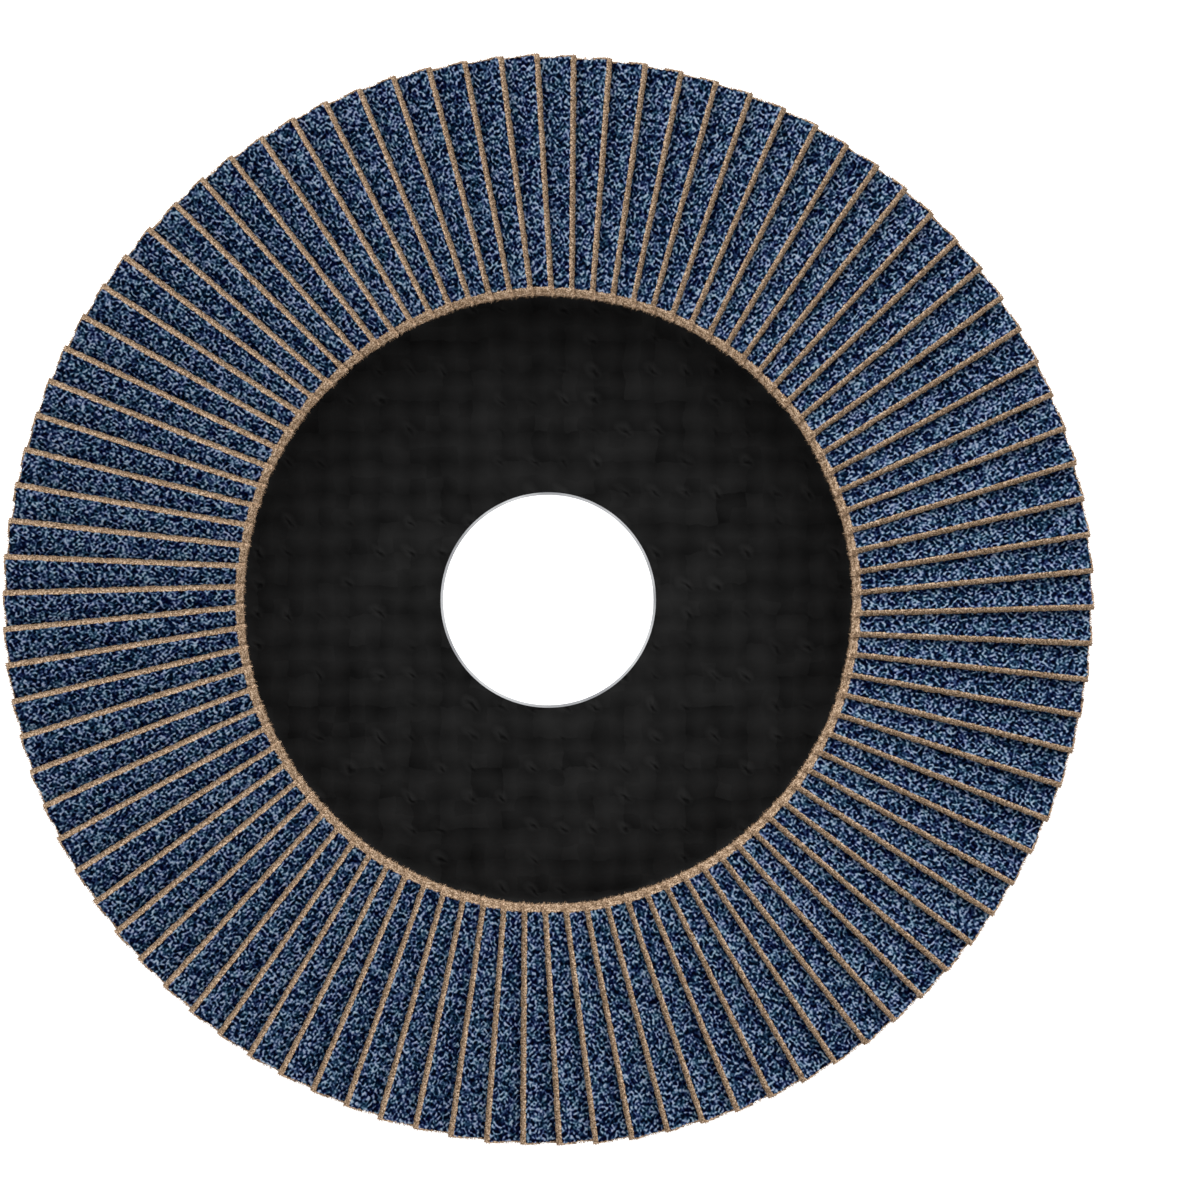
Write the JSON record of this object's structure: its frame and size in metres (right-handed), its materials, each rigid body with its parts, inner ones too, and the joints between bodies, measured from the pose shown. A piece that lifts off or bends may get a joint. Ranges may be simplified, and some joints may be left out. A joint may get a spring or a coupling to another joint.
{
  "type": "flap disc",
  "caption": "Flap disc for an angle grinder: a fan of overlapping abrasive cloth flaps glued to a dished glass-fibre backing plate with a central bore.",
  "frame": {"origin": "on the bore axis, at the flat back face of the hub, which is the lowest plane", "axes": "+Z along the bore axis from the machine side to the abrasive side; +Y towards the first flap"},
  "size_m": [0.115, 0.115, 0.014],
  "materials": {
    "laminate": "pressed black glass-fibre laminate with a faint mesh pattern",
    "ring_steel": "thin bright steel strip",
    "resin": "cured epoxy resin",
    "abrasive_cloth": "tan cloth with a coat of blue zirconia grain"
  },
  "bodies": {
    "root": {"backing_plate": "laminate", "bore_ring": "ring_steel", "adhesive_bed": "resin", "flap_pair_01": "abrasive_cloth", "flap_pair_02": "abrasive_cloth", "flap_pair_03": "abrasive_cloth", "flap_pair_04": "abrasive_cloth", "flap_pair_05": "abrasive_cloth", "flap_pair_06": "abrasive_cloth", "flap_pair_07": "abrasive_cloth", "flap_pair_08": "abrasive_cloth", "flap_pair_09": "abrasive_cloth", "flap_pair_10": "abrasive_cloth", "flap_pair_11": "abrasive_cloth", "flap_pair_12": "abrasive_cloth", "flap_pair_13": "abrasive_cloth", "flap_pair_14": "abrasive_cloth", "flap_pair_15": "abrasive_cloth", "flap_pair_16": "abrasive_cloth", "flap_pair_17": "abrasive_cloth", "flap_pair_18": "abrasive_cloth", "flap_pair_19": "abrasive_cloth", "flap_pair_20": "abrasive_cloth", "flap_pair_21": "abrasive_cloth", "flap_pair_22": "abrasive_cloth", "flap_pair_23": "abrasive_cloth", "flap_pair_24": "abrasive_cloth", "flap_pair_25": "abrasive_cloth", "flap_pair_26": "abrasive_cloth", "flap_pair_27": "abrasive_cloth", "flap_pair_28": "abrasive_cloth", "flap_pair_29": "abrasive_cloth", "flap_pair_30": "abrasive_cloth", "flap_pair_31": "abrasive_cloth", "flap_pair_32": "abrasive_cloth", "flap_pair_33": "abrasive_cloth", "flap_pair_34": "abrasive_cloth", "flap_pair_35": "abrasive_cloth", "flap_pair_36": "abrasive_cloth", "flap_pair_37": "abrasive_cloth", "flap_pair_38": "abrasive_cloth", "flap_pair_39": "abrasive_cloth", "flap_pair_40": "abrasive_cloth", "flap_pair_41": "abrasive_cloth", "flap_pair_42": "abrasive_cloth", "flap_pair_43": "abrasive_cloth", "flap_pair_44": "abrasive_cloth", "flap_pair_45": "abrasive_cloth", "flap_pair_46": "abrasive_cloth", "flap_pair_47": "abrasive_cloth"}
  },
  "joints": []
}
